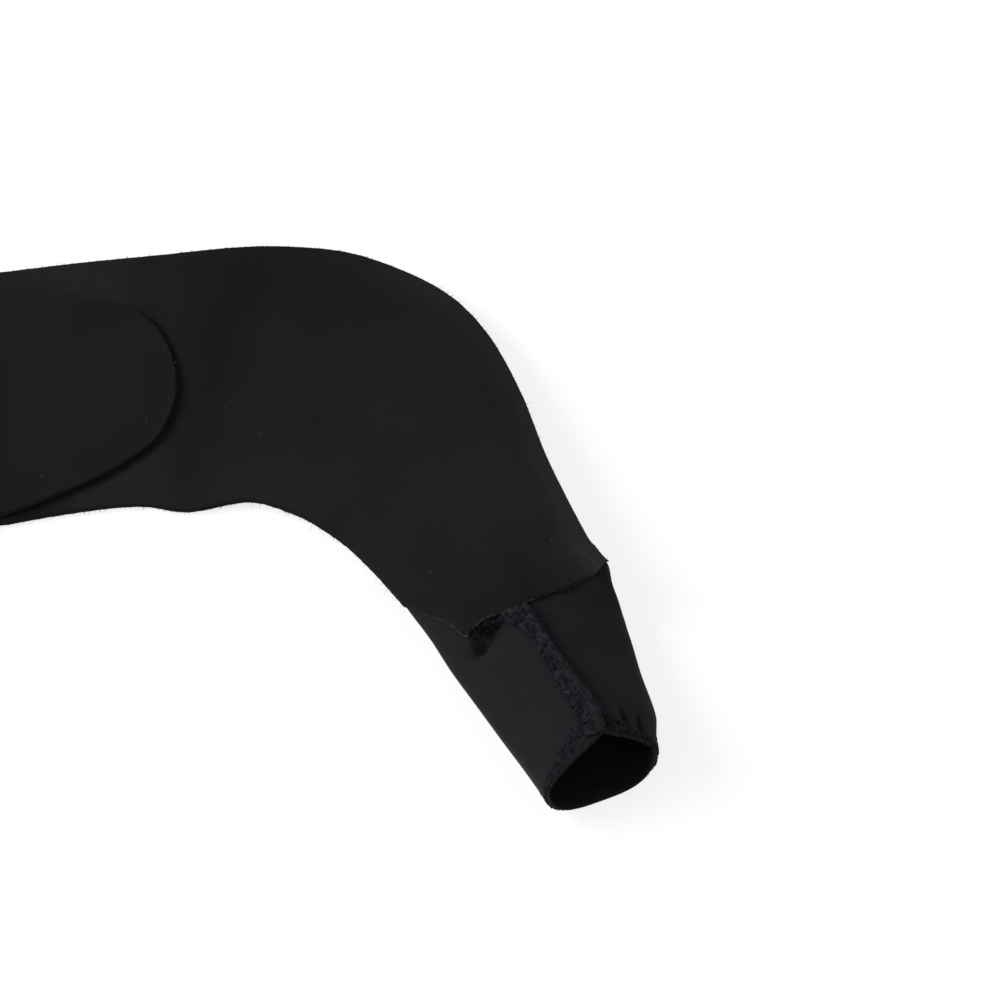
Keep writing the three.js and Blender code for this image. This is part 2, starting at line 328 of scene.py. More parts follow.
# Loose fibres at the cut edges, whose direction is taken a few columns in, and fibres of lint
FUZZ_FIBRES = 4200
FUZZ_BACK = 6
FUZZ_POINTS = 5
FUZZ_RADIUS = 0.035
LOWEST_FUZZ = 0.05
LINT_FIBRES = 4
LINT_POINTS = 9
LINT_RADIUS = 0.045
LINT_UP = np.array([0.0, 0.1, 1.0])
FIBRE_SIDES = 4

# Radians in each unit of a wave texture, for bands across one axis and for diagonal ones
BAND_RATE = 20
DIAGONAL_RATE = 10

# Floor, light and camera: places and sizes in metres, the light's power in watts, and the lens
FLOOR_HALF = 3
FLOOR_DROP = 0.0002
WORLD_STRENGTH = 0.5
KEY_PLACE = (-0.875, 0.2, 0.83)
KEY_AIM = (0.09, -0.03, 0)
KEY_SIZE = 0.6
KEY_POWER = 13
CAMERA_PLACE = (0.10535, -0.41845, 0.81568)
CAMERA_AIM = (0.14775, -0.04046, 0)
CAMERA_LENS_MM = 135
CAMERA_SENSOR_MM = 36

random = np.random.default_rng(7)


def lerp(a, b, t):
    """Straight mix: a where t is 0 and b where t is 1."""
    return a + (b - a) * t


def bell(x, middle, spread):
    """Bell curve: 1 at the middle and falling off over the spread on both sides."""
    return np.exp(-((x - middle) / spread) ** 2)


def smooth_step(x, start, end):
    """0 before start, 1 after end, and an S-shaped cubic between them."""
    t = np.clip((x - start) / (end - start), 0, 1)
    return t * t * (3 - 2 * t)


def unit(vectors):
    """Vectors divided by their lengths."""
    return vectors / np.maximum(np.linalg.norm(vectors, axis=-1, keepdims=True), 1e-9)


def through(table, row):
    """Curve through evenly spaced rows: a cubic between each two rows, whose slope at a row is half the
    difference of that row's neighbours, with the end rows reflected."""
    ends = [2 * table[:1] - table[1:2], table, 2 * table[-1:] - table[-2:-1]]
    padded = np.concatenate(ends)
    row = np.asarray(row, float)
    first = np.clip(np.floor(row).astype(int), 0, len(table) - 2)
    t = (row - first).reshape(row.shape + (1,) * (table.ndim - 1))
    a, b, c, d = (padded[first + k] for k in range(4))
    return b + 0.5 * t * (c - a + t * (2 * a - 5 * b + 4 * c - d + t * (3 * b - a - 3 * c + d)))


def ripple(x, y, length, seed):
    """Soft unevenness of hand-laid cloth: twice the mean of nine sine waves in seeded directions, with
    wavelengths from 0.6 to 1.8 times the length."""
    draw = np.random.default_rng(seed)
    turn, phase = draw.uniform(0, 2 * np.pi, (2, 9))
    wave = 2 * np.pi / (length * draw.uniform(0.6, 1.8, 9))
    x, y = np.asarray(x, float)[..., None], np.asarray(y, float)[..., None]
    return np.sin(wave * (x * np.cos(turn) + y * np.sin(turn)) + phase).mean(-1) * 2


def grid_normals(grid):
    """Unit cross product of the steps across and along the grid at each point."""
    return unit(np.cross(np.gradient(grid, axis=1), np.gradient(grid, axis=0)))


def angle_apart(degrees, middle):
    """Angle from a middle one, between -180 and 180 degrees."""
    return (degrees - middle + 180) % 360 - 180


def seam_ridge(run):
    """Angle of the seam's ridge at a run along the sleeve, on straight lines between the listed runs."""
    return np.interp(run, SEAM_PATH[:, 0], SEAM_PATH[:, 2])


def sleeve_point(run, degrees):
    """Tapered tube: over the widest line a mix of half an ellipse and a tent whose top is at the seam's
    ridge, and under it half a squarer superellipse, on a cross line that turns and narrows along the
    run. A bell round the body's back corner raises the base there."""
    columns = through(SLEEVE, (run - SLEEVE_FIRST) / SLEEVE_SPACING)
    turn, shift, half, low, mid, top = np.moveaxis(columns, -1, 0)
    cos, sin = np.cos(np.radians(degrees)), np.sin(np.radians(degrees))
    power = np.where(sin < 0, SOLE_SQUARENESS, 1)
    across = shift + half * np.sign(cos) * np.abs(cos) ** power
    reach = np.where(sin < 0, mid - low, top - mid)
    peak = np.cos(np.radians(seam_ridge(run)))
    tent = np.minimum((1 + cos) / (1 + peak), (1 - cos) / (1 - peak))
    rise = np.where(sin < 0, np.sign(sin) * np.abs(sin) ** power, lerp(sin, tent, TENT_SHARE))
    x = SLEEVE_START[0] + SLEEVE_STEP[0] * run + across * np.cos(np.radians(turn))
    y = SLEEVE_START[1] + SLEEVE_STEP[1] * run + across * np.sin(np.radians(turn))
    round_corner = bell(angle_apart(degrees, JOIN_BACK), 0, CORNER_SPREAD)
    corner = round_corner * (1 - smooth_step(run, 0, CORNER_LENGTH))
    return np.stack([x, y, mid + reach * rise], -1) + corner[..., None] * CORNER_RAISE


def sleeve_normal(run, degrees):
    """Outward unit normal: the step round the sleeve crossed with the step along it."""
    along = sleeve_point(run + 0.5, degrees) - sleeve_point(run - 0.5, degrees)
    around = sleeve_point(run, degrees + 1) - sleeve_point(run, degrees - 1)
    return unit(np.cross(around, along))


def sleeve_offset(run, degrees, out):
    """Point at a height above the sleeve's middle surface, along its normal."""
    run, degrees, out = np.broadcast_arrays(*(np.asarray(a, float) for a in (run, degrees, out)))
    return sleeve_point(run, degrees) + sleeve_normal(run, degrees) * out[..., None]


def bumps(run, degrees, table):
    """Sum of the listed bumps: each its height times a bell along the sleeve and a bell round it."""
    return sum(
        height * bell(run, middle, length) * bell(angle_apart(degrees, angle), 0, width)
        for middle, length, angle, width, height in table)


def sleeve_dents(run, degrees):
    """Broad dents of the sleeve's knit, outwards as positive: a soft ripple, a swell under the body's
    back corner and a lower one along the front side, and the mouth's back side and the base's front
    side pulled in."""
    back_side = bell(angle_apart(degrees, PULL_ANGLE), 0, PULL_SPREAD)
    pulled = MOUTH_PULL * back_side * smooth_step(run, PULL_START, PULL_END)
    return bumps(run, degrees, BROAD_DENTS) + pulled + 0.16 * ripple(run, degrees * BASE_ARC, 16, 11)


def sleeve_puckers(run, degrees):
    """Small sharp dents of the knit, outwards as positive: a crumpled tuck beside the body's pointed
    dip, made of a slanting trough with wrinkles and a deep fold in it, a gather from there along the
    body's edge to the seam, and two puckers at the hem."""
    arc = degrees * BASE_ARC
    slant = run - TUCK_SLANT * (degrees - TUCK_ANGLE)
    trough = bumps(slant, degrees, TUCK_TROUGH) * (0.8 * ripple(run, arc, 3.2, 19) - 2.2)
    gather = bumps(run, degrees, GATHER) * (0.9 * ripple(run, arc, 2.6, 27) - 1.7)
    return trough + bumps(slant, degrees, TUCK_FOLD) + gather + bumps(run, degrees, HEM_PUCKERS)


def knit_dents(run, degrees):
    """All dents of the knit together."""
    return sleeve_dents(run, degrees) + sleeve_puckers(run, degrees)


def mouth_run(degrees):
    """Run of the sleeve's cut end: shortest at the seam and longer by half a sine wave opposite it."""
    return MOUTH_RUN + MOUTH_LIP * np.abs(np.sin(np.radians(degrees - MOUTH_SHORTEST) / 2))


def hem_end(degrees):
    """Run of the hem's rim: the cut end plus the hem's length, less a pointed notch at the seam."""
    apart = np.abs(angle_apart(degrees, MOUTH_PEAK))
    return mouth_run(degrees) + HEM_LENGTH - MOUTH_NOTCH * np.exp(-apart / MOUTH_NOTCH_SPREAD)


def lap_run(v):
    """Run at which the body's end lies over the sleeve: straight lines between the listed shares,
    rounded by averaging over a short span."""
    spans = np.linspace(-LAP_ROUNDING, LAP_ROUNDING, 9)
    spread = np.clip(np.asarray(v, float)[..., None] + spans, 0, 1)
    return np.interp(spread, LAP_EDGE[:, 0], LAP_EDGE[:, 1]).mean(-1)


def lap_degrees(v):
    """Angle round the sleeve at a share across the body: even steps of the cosine between the two
    corners."""
    cosine = lerp(np.cos(np.radians(JOIN_FRONT)), np.cos(np.radians(JOIN_BACK)), v)
    return np.degrees(np.arccos(cosine))


def tuck_lift(v):
    """Extra height of the body's end over the sleeve: a bell at the tuck."""
    return TUCK_LIFT * bell(v, TUCK_SHARE, TUCK_SPREAD)


def lap_rows(v):
    """Rows of the body over the sleeve: clear of it at first, and sewn down on its dents at the thin
    end, with the cube of the share of the way there."""
    share = LAP_SHARES[:, None]
    run = lerp(lerp(LAP_FRONT_START, LAP_BACK_START, v), lap_run(v), share)
    degrees = lap_degrees(v)
    clear = JOIN_GAP + PANEL_WALL / 2
    sewn = END_GAP + END_WALL / 2 + tuck_lift(v) + sleeve_dents(run, degrees)
    flare = lerp(CORNER_IN, CORNER_OUT, share) * bell(v, 1, CORNER_SHARE)
    return sleeve_offset(run, degrees, SLEEVE_WALL / 2 + lerp(clear, sewn, share**3) + flare)


def rib_rows(v):
    """Rows across the body: a parabola in plan through three points, and in height a straight line
    between the edges plus an arch, which is the parabola 4v(1-v) raised to the rib's power."""
    front, middle, back, power = np.split(RIBS[:, None], [3, 6, 9], axis=-1)
    v = v[None, :, None]
    bow = 4 * v * (1 - v)
    rows = front * (1 - v) * (1 - 2 * v) + middle * bow + back * v * (2 * v - 1)
    rise = middle - (front + back) / 2
    height = lerp(front, back, v) + rise * bow**power
    return np.concatenate([rows[..., :2], height[..., 2:]], -1)


def across_shares(width):
    """Shares across strips of these widths: close steps at both cut edges and even ones between."""
    near = EDGE_STEPS / np.asarray(width, float)[..., None]
    even = np.linspace(0, 1, PANEL_ACROSS + 1)[1:-1]
    inner = lerp(near[..., -1:], 1 - near[..., -1:], even)
    return np.concatenate([near, inner, 1 - near[..., ::-1]], -1)


def return_height(x):
    """Height of the strap's middle where it comes back over the wrist: an S-curve from the loop's top
    down to the body."""
    return lerp(GROUND_MID + 2 * TURN_RISE, LAP_MID, smooth_step(x, TURN_X, LAP_X))


def body_rows():
    """Body of the wrap: its rows over the sleeve and its ribs, with smooth rows between them."""
    v = across_shares(2 * STRAP_HALF)
    controls = np.concatenate([lap_rows(v), rib_rows(v)])
    last_lap = len(LAP_SHARES) - 1
    lap_length = (lap_run(0.5) - lerp(LAP_FRONT_START, LAP_BACK_START, 0.5)) / last_lap
    last = len(controls) - 1
    near = EDGE_STEPS / lap_length
    lap = np.linspace(near[-1], last_lap, LAP_STEPS)[1:]
    ribs = np.linspace(last_lap, last, (last - last_lap) * RIB_STEPS + 1)[1:]
    return through(controls, np.concatenate([near, lap, ribs]))


def strap_rows():
    """Strap round the wrist: level on the ground, half an ellipse up and over, and the S-curve back
    down."""
    ground = np.linspace(RIBS[-1, 0], TURN_X, GROUND_STEPS + 1)[1:-1]
    angle = np.linspace(-np.pi / 2, np.pi / 2, TURN_STEPS)
    back = np.linspace(TURN_X, TAB[0, 0], RETURN_STEPS + 1)[1:-1]
    x = np.concatenate([ground, TURN_X - TURN_REACH * np.cos(angle), back])
    turn_z = GROUND_MID + TURN_RISE * (1 + np.sin(angle))
    z = np.concatenate([np.full(len(ground), GROUND_MID), turn_z, return_height(back)])
    y = lerp(-STRAP_HALF, STRAP_HALF, across_shares(2 * STRAP_HALF))
    return np.stack(np.broadcast_arrays(x[:, None], y, z[:, None]), -1)


def tab_rows():
    """Rounded strap end: straight rows between its front and back cut edges, at the strap's height,
    drooping by an S-curve towards its cut edges where it lies on the body."""
    edges = through(TAB, np.linspace(0, len(TAB) - 1, TAB_ROWS + 1))
    front, back = edges[:, None, :2], edges[:, None, 2:]
    width = np.linalg.norm(edges[:, 2:] - edges[:, :2], axis=-1)
    plan = lerp(front, back, across_shares(width)[..., None])
    height = return_height(plan[..., :1])
    outline = np.concatenate([edges[:, :2], edges[:, 2:]])
    near = np.linalg.norm(plan[:, :, None] - outline, axis=-1).min(-1)
    share = (1 - smooth_step(near, 0, DROOP_WIDTH)) * smooth_step(plan[..., 0], DROOP_START, LAP_X)
    return np.concatenate([plan, height - DROOP * share[..., None]], -1)


def flat_lengths(grid):
    """Lengths along the rows' middle and across each row from its front edge, as the cloth lies flat."""
    middle = grid[:, grid.shape[1] // 2]
    along = np.concatenate([[0], np.cumsum(np.linalg.norm(np.diff(middle, axis=0), axis=-1))])
    steps = np.linalg.norm(np.diff(grid, axis=1), axis=-1)
    across = np.concatenate([np.zeros((len(grid), 1)), np.cumsum(steps, axis=1)], 1)
    return np.broadcast_to(along[:, None], across.shape), across


def pattern_place(grid):
    """Place on the wrap's flat cut pattern: the plan itself on the body, and on the strap, which
    unrolls from the body, the length along its middle and the plan's distance from there."""
    middle = grid[:, grid.shape[1] // 2]
    steps = np.linalg.norm(np.diff(middle, axis=0), axis=-1)
    steps[:BODY_ROWS - 1] = 0
    length = middle[BODY_ROWS - 1, 0] - np.concatenate([[0], np.cumsum(steps)])
    body = np.arange(len(grid))[:, None] < BODY_ROWS
    x = grid[..., 0]
    return np.stack([np.where(body, x, length[:, None] - (x - middle[:, :1])), grid[..., 1]], -1)


def edge_fullness(distance):
    """Share of the full thickness near a cut edge: a little over half at the edge, rising as a parabola
    to all of it one millimetre in."""
    return 1 - EDGE_THINNING * np.clip(1 - distance / EDGE_STEPS[-1], 0, 1) ** 2


def grid_quads(rows, columns, closed):
    """Corner numbers of a grid's faces, with the last column joined to the first where it is closed."""
    i, j = np.meshgrid(np.arange(rows - 1), np.arange(columns - (not closed)), indexing="ij")
    k = (j + 1) % columns
    corners = [i * columns + j, i * columns + k, (i + 1) * columns + k, (i + 1) * columns + j]
    return np.stack(corners, -1).reshape(-1, 4)


def grid_corners(values):
    """Values at the four corners of each of a grid's faces, in the order of grid_quads."""
    here, there = values[:, :-1], values[:, 1:]
    return np.stack([here[:-1], there[:-1], there[1:], here[1:]], 2).reshape(-1, 4, values.shape[-1])


def make_piece(name, points, quads, corner_uv, tones, material):
    """Mesh object from points in millimetres, four-cornered faces, flat cloth lengths at the corners,
    and named tone values at the points."""
    a, b, c, d = (points[quads[:, k]] for k in range(4))
    volume = np.einsum("ij,ij->", a, np.cross(b, c)) + np.einsum("ij,ij->", a, np.cross(c, d))
    if volume < 0:
        quads, corner_uv = quads[:, ::-1], corner_uv[:, ::-1]
    mesh = bpy.data.meshes.new(name)
    mesh.vertices.add(len(points))
    mesh.vertices.foreach_set("co", (points * MM).ravel())
    mesh.loops.add(quads.size)
    mesh.loops.foreach_set("vertex_index", quads.ravel())
    mesh.polygons.add(len(quads))
    mesh.polygons.foreach_set("loop_start", np.arange(0, quads.size, 4))
    mesh.update(calc_edges=True)
    mesh.polygons.foreach_set("use_smooth", np.ones(len(quads), bool))
    mesh.uv_layers.new(name="flat").data.foreach_set("uv", (corner_uv * MM).ravel())
    for key, values in tones.items():
        tone = mesh.attributes.new(key, "FLOAT", "POINT")
        tone.data.foreach_set("value", np.asarray(values, float).ravel())
    mesh.materials.append(material)
    mesh.validate()
    piece = bpy.data.objects.new(name, mesh)
    bpy.context.scene.collection.objects.link(piece)
    return piece


def border_faces(rows, columns, uv, closed):
    """Faces, with their pattern corners, that join two skins along their first and last rows, and where
    the grid is open also along its first and last columns."""
    half = rows * columns
    first = np.arange(columns if closed else columns - 1)
    after = (first + 1) % columns
    end = (rows - 1) * columns
    faces = [
        np.stack([first, first + half, after + half, after], -1),
        np.stack([end + first, end + after, end + after + half, end + first + half], -1),
    ]
    face_uv = [
        np.stack([uv[0, :-1], uv[0, :-1], uv[0, 1:], uv[0, 1:]], 1),
        np.stack([uv[-1, :-1], uv[-1, 1:], uv[-1, 1:], uv[-1, :-1]], 1),
    ]
    if closed:
        return faces, face_uv
    low = np.arange(rows - 1) * columns
    high = low + columns - 1
    faces.append(np.stack([low, low + columns, low + columns + half, low + half], -1))
    faces.append(np.stack([high, high + half, high + columns + half, high + columns], -1))
    face_uv.append(np.stack([uv[:-1, 0], uv[1:, 0], uv[1:, 0], uv[:-1, 0]], 1))
    face_uv.append(np.stack([uv[:-1, -1], uv[:-1, -1], uv[1:, -1], uv[1:, -1]], 1))
    return faces, face_uv


def cloth_piece(name, skins, uv, tones, closed, material):
    """Closed cloth wall between two skins on the same grid, with their open borders joined. uv has one
    more column than the skins where the grid is closed, so that the pattern runs on over the join. Each
    tone has its values on both skins."""
    outer, inner = skins
    rows, columns = outer.shape[:2]
    points = np.concatenate([outer.reshape(-1, 3), inner.reshape(-1, 3)])
    face = grid_quads(rows, columns, closed)
    face_uv = grid_corners(uv)
    borders, border_uv = border_faces(rows, columns, uv, closed)
    quads = np.concatenate([face, face[:, ::-1] + rows * columns, *borders])
    corner_uv = np.concatenate([face_uv, face_uv[:, ::-1], *border_uv])
    piece = make_piece(name, points, quads, corner_uv, tones, material)
    piece.data.set_sharp_from_angle(angle=CUT_ANGLE)
    return piece


def ring_uv(paths, thread, k, s, sides):
    """Pattern corners of the threads' faces: the length along the thread and the share of the way round
    it."""
    lengths = np.linalg.norm(np.diff(paths, axis=1, append=paths[:, :1]), axis=-1)
    along = np.concatenate([np.zeros((len(paths), 1)), np.cumsum(lengths, 1)], 1)
    start, stop = along[thread, k], along[thread, k + 1]
    left, right = s / sides, (s + 1) / sides
    corners = [(start, left), (start, right), (stop, right), (stop, left)]
    return np.stack([np.stack(corner, -1) for corner in corners], -2).reshape(-1, 4, 2)


def thread_caps(count, length, sides):
    """Corner numbers of the flat ends of some threads, as fans of four-cornered faces."""
    fan = np.arange(1, sides - 2, 2)
    cap = np.stack([np.zeros_like(fan), fan, fan + 1, fan + 2], -1)
    starts = (np.arange(count) * length * sides)[:, None, None]
    ends = starts + (length - 1) * sides
    return np.concatenate([(starts + cap[:, ::-1]).reshape(-1, 4), (ends + cap).reshape(-1, 4)])


def thread_rings(paths, over, radius, sides, closed):
    """Round threads: at each point of each path a ring of points square to it. paths is threads by
    points by 3, over is a direction off the path there, and a thread is closed on itself or has flat
    ends."""
    if closed:
        tangent = unit(np.roll(paths, -1, 1) - np.roll(paths, 1, 1))
    else:
        tangent = unit(np.gradient(paths, axis=1))
    side = unit(np.cross(tangent, over))
    up = np.cross(side, tangent)
    turn = np.arange(sides) * 2 * np.pi / sides
    reach = np.broadcast_to(np.asarray(radius, float), paths.shape[:2])[..., None, None]
    ring = side[:, :, None] * np.cos(turn)[:, None] + up[:, :, None] * np.sin(turn)[:, None]
    points = (paths[:, :, None] + reach * ring).reshape(-1, 3)
    count, length = paths.shape[:2]
    spans = length if closed else length - 1
    thread, k, s = np.meshgrid(np.arange(count), np.arange(spans), np.arange(sides), indexing="ij")
    here = (thread * length + k) * sides
    there = (thread * length + (k + 1) % length) * sides
    after = (s + 1) % sides
    quads = np.stack([here + s, here + after, there + after, there + s], -1).reshape(-1, 4)
    uv = ring_uv(paths, thread, k, s, sides)
    if closed:
        return points, quads, uv
    caps = thread_caps(count, length, sides)
    return points, np.concatenate([quads, caps]), np.concatenate([uv, np.zeros((len(caps), 4, 2))])


def thread_piece(name, groups, material):
    """One piece out of several groups of threads, each as thread_rings makes it."""
    starts = np.cumsum([0] + [len(points) for points, _, _ in groups])
    points = np.concatenate([group[0] for group in groups])
    quads = np.concatenate([group[1] + start for group, start in zip(groups, starts)])
    uv = np.concatenate([group[2] for group in groups])
    return make_piece(name, points, quads, uv, {}, material)


def linear(colour):
    """sRGB hex colour as linear red, green, blue and opacity."""
    parts = np.array([int(colour[k:k + 2], 16) for k in (1, 3, 5)]) / 255
    parts = np.where(parts <= 0.04045, parts / 12.92, ((parts + 0.055) / 1.055) ** 2.4)
    return (*parts.tolist(), 1)


def add(tree, kind, sockets=None, **settings):
    """Adds a node, sets its settings, and sets each named or numbered socket or links an output to it."""
    made = tree.nodes.new(kind)
    for key, value in settings.items():
        setattr(made, key, value)
    for key, value in (sockets or {}).items():
        if isinstance(value, bpy.types.NodeSocket):
            tree.links.new(value, made.inputs[key])
        else:
            made.inputs[key].default_value = value
    return made


def new_material(name):
    """Material of this name with no nodes yet, and its node tree."""
    material = bpy.data.materials.new(name)
    material.use_nodes = True
    material.node_tree.nodes.clear()
    return material, material.node_tree


def per_mm(size):
    """Texture scale that makes one feature this many millimetres, on coordinates in metres."""
    return 1 / (size * MM)


def wave_scale(spacing, rate):
    """Scale of a wave texture that puts its bands this many millimetres apart, on coordinates in
    metres: a whole turn, over the spacing times the radians that the texture turns through in each
    unit."""
    return 2 * np.pi / (rate * spacing * MM)


def brushed_loop_fabric():
    """Nylon loop fabric on a thin foam core, brushed on both faces and die cut: a deep matte black with
    a short nap that is drawn out along the strap and catches a little light at grazing angles. Its colour
    is lightened and darkened by painted light and shade, and it is darker at the cut edges, partly from the
    dark foam that shows there and partly as painted shade."""
    material, tree = new_material("brushed_loop_fabric")
    flat = add(tree, "ShaderNodeUVMap", uv_map="flat").outputs["UV"]
    cut = add(tree, "ShaderNodeAttribute", attribute_name="cut").outputs["Fac"]
    painted_light = add(tree, "ShaderNodeAttribute", attribute_name="painted_light").outputs["Fac"]
    cloud = add(tree, "ShaderNodeTexNoise", {"Vector": flat, "Scale": per_mm(14), "Detail": 3})
    drawn = add(tree, "ShaderNodeMapping", {"Vector": flat, "Scale": (0.6, 1, 1)}).outputs["Vector"]
    nap = add(tree, "ShaderNodeTexNoise", {
        "Vector": drawn, "Scale": per_mm(0.5), "Detail": 4, "Roughness": 0.65})
    uneven = add(tree, "ShaderNodeMapRange", {
        "Value": cloud.outputs["Fac"], "From Min": 0.3, "From Max": 0.7, "To Min": -0.03, "To Max": 0.03})
    # Random unevenness plus the painted light and shade carried by the attribute
    uneven_and_painted = add(tree, "ShaderNodeMath", {0: uneven.outputs[0], 1: painted_light}, operation="ADD", use_clamp=True)
    patches = add(tree, "ShaderNodeMix", {
        0: uneven_and_painted.outputs[0], 6: linear("#0c0c0c"), 7: linear("#3c3c3c")}, data_type="RGBA")
    tufts = add(tree, "ShaderNodeMix", {
        0: nap.outputs["Fac"], 6: linear("#101010"), 7: patches.outputs[2]}, data_type="RGBA")
    # Darker colour at the cut edges: partly the dark foam, partly painted shade
    colour = add(tree, "ShaderNodeMix", {
        0: cut, 6: tufts.outputs[2], 7: linear("#161616")}, data_type="RGBA")
    bump = add(tree, "ShaderNodeBump", {
        "Height": nap.outputs["Fac"], "Strength": 0.55, "Distance": 0.22 * MM})
    shader = add(tree, "ShaderNodeBsdfPrincipled", {
        "Base Color": colour.outputs[2], "Roughness": 0.95, "Specular IOR Level": 0.05, "IOR": 1.5,
        "Sheen Weight": 0.02, "Sheen Roughness": 0.5, "Normal": bump.outputs["Normal"]})
    add(tree, "ShaderNodeOutputMaterial", {"Surface": shader.outputs["BSDF"]})
    return material


def stretch_knit():
    """Fine polyester and elastane knit: smooth, a touch bluish, with a grain of stitches and faint broad
    ribs along the sleeve, and darker on the inner skin as painted shade inside the tube. The grain is drawn
    0.5 mm across, coarser than the real 0.35 mm, so that it shows."""
    material, tree = new_material("stretch_knit")
    flat = add(tree, "ShaderNodeUVMap", uv_map="flat").outputs["UV"]
    inside = add(tree, "ShaderNodeAttribute", attribute_name="inside").outputs["Fac"]
    cloud = add(tree, "ShaderNodeTexNoise", {"Vector": flat, "Scale": per_mm(9), "Detail": 3})
    ribs = add(tree, "ShaderNodeTexWave", {
        "Vector": flat, "Scale": wave_scale(4.4, BAND_RATE), "Distortion": 0.4, "Detail": 1},
        wave_type="BANDS", bands_direction="X")
    grain = add(tree, "ShaderNodeTexNoise", {"Vector": flat, "Scale": per_mm(0.5), "Detail": 3})
    height = add(tree, "ShaderNodeMath", {0: ribs.outputs["Fac"], 1: grain.outputs["Fac"]}, operation="ADD")
    face = add(tree, "ShaderNodeMix", {
        0: cloud.outputs["Fac"], 6: linear("#1c1c1f"), 7: linear("#212124")}, data_type="RGBA")
    # Painted shade: the inner skin takes a darker colour
    colour = add(tree, "ShaderNodeMix", {
        0: inside, 6: face.outputs[2], 7: linear("#181918")}, data_type="RGBA")
    bump = add(tree, "ShaderNodeBump", {
        "Height": height.outputs[0], "Strength": 0.35, "Distance": 0.08 * MM})
    shader = add(tree, "ShaderNodeBsdfPrincipled", {
        "Base Color": colour.outputs[2], "Roughness": 0.8, "Specular IOR Level": 0.05, "IOR": 1.5,
        "Sheen Weight": 0.018, "Sheen Roughness": 0.4, "Normal": bump.outputs["Normal"]})
    add(tree, "ShaderNodeOutputMaterial", {"Surface": shader.outputs["BSDF"]})
    return material


def spun_thread(name, dark, light):
    """Textured polyester thread, in patches of a dark and a lighter violet black: the overlocking
    thread, and the paler sewing thread of the joint. Its twist is too fine to show, and a slow swell
    along it is drawn instead. Where a seam is plain it shows the folded knit under its threads."""
    material, tree = new_material(name)
    flat = add(tree, "ShaderNodeUVMap", uv_map="flat").outputs["UV"]
    place = add(tree, "ShaderNodeTexCoord").outputs["Object"]
    cloud = add(tree, "ShaderNodeTexNoise", {"Vector": place, "Scale": per_mm(1.2), "Detail": 3})
    swell = add(tree, "ShaderNodeTexWave", {
        "Vector": flat, "Scale": wave_scale(8.8, DIAGONAL_RATE), "Distortion": 0.6},
        wave_type="BANDS", bands_direction="DIAGONAL")
    ramp = add(tree, "ShaderNodeMapRange", {
        "Value": cloud.outputs["Fac"], "From Min": 0.38, "From Max": 0.68})
    plain = add(tree, "ShaderNodeAttribute", attribute_name="plain").outputs["Fac"]
    patches = add(tree, "ShaderNodeMix", {
        0: ramp.outputs[0], 6: linear(dark), 7: linear(light)}, data_type="RGBA")
    colour = add(tree, "ShaderNodeMix", {
        0: plain, 6: patches.outputs[2], 7: linear("#19191b")}, data_type="RGBA")
    bump = add(tree, "ShaderNodeBump", {
        "Height": swell.outputs["Fac"], "Strength": 0.5, "Distance": 0.08 * MM})
    shader = add(tree, "ShaderNodeBsdfPrincipled", {
        "Base Color": colour.outputs[2], "Roughness": 0.7, "Specular IOR Level": 0.06, "IOR": 1.5,
        "Sheen Weight": 0.01, "Sheen Roughness": 0.4, "Normal": bump.outputs["Normal"]})
    add(tree, "ShaderNodeOutputMaterial", {"Surface": shader.outputs["BSDF"]})
    return material


def hook_tape():
    """Moulded nylon hook tape: rows of tiny hooks 1.4 mm apart on a matte black ground."""
    material, tree = new_material("hook_tape")
    flat = add(tree, "ShaderNodeUVMap", uv_map="flat").outputs["UV"]
    hooks = add(tree, "ShaderNodeTexVoronoi", {"Vector": flat, "Scale": per_mm(1.4), "Randomness": 0.25})
    colour = add(tree, "ShaderNodeMix", {
        0: hooks.outputs["Distance"], 6: linear("#1a1a1a"), 7: linear("#0a0a0a")}, data_type="RGBA")
    bump = add(tree, "ShaderNodeBump", {
        "Height": hooks.outputs["Distance"], "Strength": 0.8, "Distance": 0.5 * MM}, invert=True)
    shader = add(tree, "ShaderNodeBsdfPrincipled", {
        "Base Color": colour.outputs[2], "Roughness": 0.6, "Specular IOR Level": 0.2, "IOR": 1.53,
        "Normal": bump.outputs["Normal"]})
    add(tree, "ShaderNodeOutputMaterial", {"Surface": shader.outputs["BSDF"]})
    return material


def cut_fibre():
    """Loose nylon fibres at the cut edges: black, very fine and slightly glossy along their length."""
    material, tree = new_material("cut_fibre")
    place = add(tree, "ShaderNodeTexCoord").outputs["Object"]
    cloud = add(tree, "ShaderNodeTexNoise", {"Vector": place, "Scale": per_mm(3)})
    colour = add(tree, "ShaderNodeMix", {
        0: cloud.outputs["Fac"], 6: linear("#090909"), 7: linear("#131313")}, data_type="RGBA")
    shader = add(tree, "ShaderNodeBsdfPrincipled", {
        "Base Color": colour.outputs[2], "Roughness": 0.7, "Specular IOR Level": 0.1, "IOR": 1.53})
    add(tree, "ShaderNodeOutputMaterial", {"Surface": shader.outputs["BSDF"]})
    return material


def cotton_lint():
    """Specks of cotton lint on the nap: pale grey fibres, dull and uneven."""
    material, tree = new_material("cotton_lint")
    place = add(tree, "ShaderNodeTexCoord").outputs["Object"]
    cloud = add(tree, "ShaderNodeTexNoise", {"Vector": place, "Scale": per_mm(6)})
    colour = add(tree, "ShaderNodeMix", {
        0: cloud.outputs["Fac"], 6: linear("#2c2c2d"), 7: linear("#5a5a5c")}, data_type="RGBA")
    shader = add(tree, "ShaderNodeBsdfPrincipled", {
        "Base Color": colour.outputs[2], "Roughness": 0.9, "Specular IOR Level": 0.1, "IOR": 1.5})
    add(tree, "ShaderNodeOutputMaterial", {"Surface": shader.outputs["BSDF"]})
    return material


